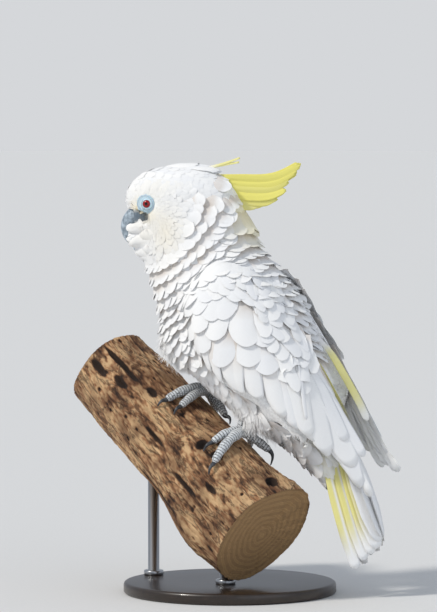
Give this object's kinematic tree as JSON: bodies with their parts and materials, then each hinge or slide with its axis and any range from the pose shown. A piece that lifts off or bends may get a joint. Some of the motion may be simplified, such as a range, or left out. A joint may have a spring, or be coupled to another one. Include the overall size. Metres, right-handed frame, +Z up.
{
  "type": "sulphur-crested cockatoo on a log",
  "caption": "White cockatoo with a swept-back yellow crest, gripping a sloping length of weathered log held over a round base by upright rods.",
  "frame": {"origin": "centre of the stand's underside, on the floor", "axes": "+Z up; the bird faces -X and its left side is towards -Y"},
  "size_m": [0.3612, 0.224, 0.4575],
  "materials": {
    "plumage": "white feathers, matte and slightly sheeny",
    "crest": "lemon yellow feathers, matte",
    "bill": "blue-grey horn dulled by feather powder",
    "eye": "wet gloss, red-brown iris and black pupil",
    "foot_skin": "grey scaly skin, matte",
    "claw": "dark grey horn, satin",
    "log": "bare weathered wood, rough and dry",
    "base_wood": "dark stained wood under satin varnish",
    "rod_steel": "brushed along the rod"
  },
  "bodies": {
    "root": {"bill_lower": "bill", "bill_upper": "bill", "claw_left_hallux": "claw", "claw_left_inner": "claw", "claw_left_middle": "claw", "claw_left_outer": "claw", "claw_right_hallux": "claw", "claw_right_inner": "claw", "claw_right_middle": "claw", "claw_right_outer": "claw", "crest_loose_plume": "crest", "crest_lower": "crest", "crest_upper": "crest", "eye_left": "eye", "eye_right": "eye", "foot_left": "foot_skin", "foot_right": "foot_skin", "head": "plumage", "neck": "plumage", "perch": "log", "primaries_left": "plumage", "primaries_right": "plumage", "stand_base": "base_wood", "stand_rod_lower": "rod_steel", "stand_rod_upper": "rod_steel", "tail": "plumage", "thigh_left": "plumage", "thigh_right": "plumage", "toe_left_hallux": "foot_skin", "toe_left_inner": "foot_skin", "toe_left_middle": "foot_skin", "toe_left_outer": "foot_skin", "toe_right_hallux": "foot_skin", "toe_right_inner": "foot_skin", "toe_right_middle": "foot_skin", "toe_right_outer": "foot_skin", "trunk": "plumage", "wing_left": "plumage", "wing_right": "plumage"}
  },
  "joints": []
}
